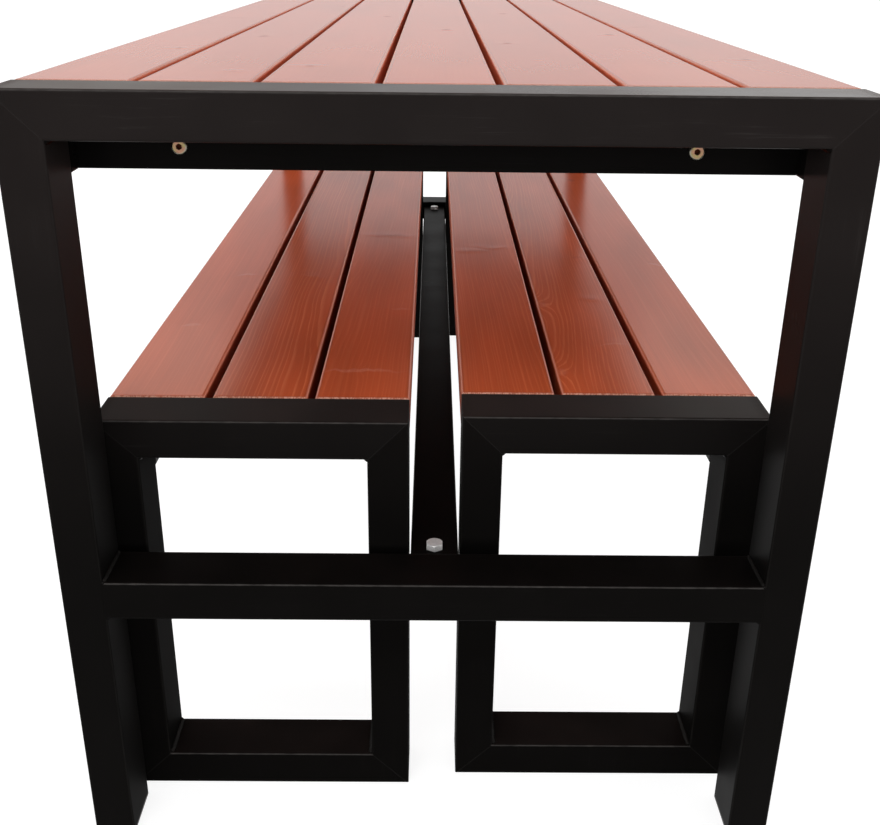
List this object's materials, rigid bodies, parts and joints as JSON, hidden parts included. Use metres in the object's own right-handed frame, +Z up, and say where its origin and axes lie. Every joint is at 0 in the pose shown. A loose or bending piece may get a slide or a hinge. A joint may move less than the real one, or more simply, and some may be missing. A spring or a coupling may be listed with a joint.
{
  "type": "garden table with benches",
  "caption": "Long slatted garden table in welded rectangular steel tube, with two matching benches that tuck in under the top and pull out sideways.",
  "frame": {"origin": "on the floor, under the middle of the table", "axes": "+X across the table to the right seen from the near end, +Y along the table from the near end to the far end, +Z up"},
  "size_m": [0.7, 1.7, 0.75],
  "materials": {
    "frame_steel": "black satin powder coat",
    "stained_wood": "glossy mahogany glaze on planed pine",
    "zinc_fasteners": "bright zinc plating",
    "bronze_fasteners": "yellow zinc plating",
    "foot_plastic": "black moulded plastic"
  },
  "bodies": {
    "table": {"table_leg_near_left": "frame_steel", "table_leg_near_right": "frame_steel", "table_leg_far_left": "frame_steel", "table_leg_far_right": "frame_steel", "table_top_bar_near": "frame_steel", "table_top_bar_far": "frame_steel", "table_crossbar_near": "frame_steel", "table_crossbar_far": "frame_steel", "table_cross_members": "frame_steel", "table_stubs": "frame_steel", "table_bearer_left": "frame_steel", "table_bearer_right": "frame_steel", "table_battens": "frame_steel", "table_board_1": "stained_wood", "table_board_2": "stained_wood", "table_board_3": "stained_wood", "table_board_4": "stained_wood", "table_board_5": "stained_wood", "table_board_6": "stained_wood", "table_board_7": "stained_wood", "table_panel_bolts": "bronze_fasteners", "table_board_screws": "bronze_fasteners", "table_low_beam": "frame_steel", "table_beam_tabs": "frame_steel", "table_beam_bolts": "zinc_fasteners", "table_beam_nuts": "zinc_fasteners", "table_foot_plugs": "foot_plastic"},
    "left_bench": {"left_bench_leg_near_inner": "frame_steel", "left_bench_leg_near_outer": "frame_steel", "left_bench_leg_far_inner": "frame_steel", "left_bench_leg_far_outer": "frame_steel", "left_bench_top_bars": "frame_steel", "left_bench_bottom_rails": "frame_steel", "left_bench_cross_members": "frame_steel", "left_bench_stubs": "frame_steel", "left_bench_bearers": "frame_steel", "left_bench_battens": "frame_steel", "left_bench_board_1": "stained_wood", "left_bench_board_2": "stained_wood", "left_bench_board_3": "stained_wood", "left_bench_panel_bolts": "bronze_fasteners", "left_bench_board_screws": "bronze_fasteners"},
    "right_bench": {"right_bench_leg_near_inner": "frame_steel", "right_bench_leg_near_outer": "frame_steel", "right_bench_leg_far_inner": "frame_steel", "right_bench_leg_far_outer": "frame_steel", "right_bench_top_bars": "frame_steel", "right_bench_bottom_rails": "frame_steel", "right_bench_cross_members": "frame_steel", "right_bench_stubs": "frame_steel", "right_bench_bearers": "frame_steel", "right_bench_battens": "frame_steel", "right_bench_board_1": "stained_wood", "right_bench_board_2": "stained_wood", "right_bench_board_3": "stained_wood", "right_bench_panel_bolts": "bronze_fasteners", "right_bench_board_screws": "bronze_fasteners"}
  },
  "joints": [
    {"name": "left_bench_slide", "type": "slide", "parent": "table", "child": "left_bench", "axis": [-1, 0, 0], "range_m": [0, 0.45]},
    {"name": "right_bench_slide", "type": "slide", "parent": "table", "child": "right_bench", "axis": [1, 0, 0], "range_m": [0, 0.45]}
  ]
}
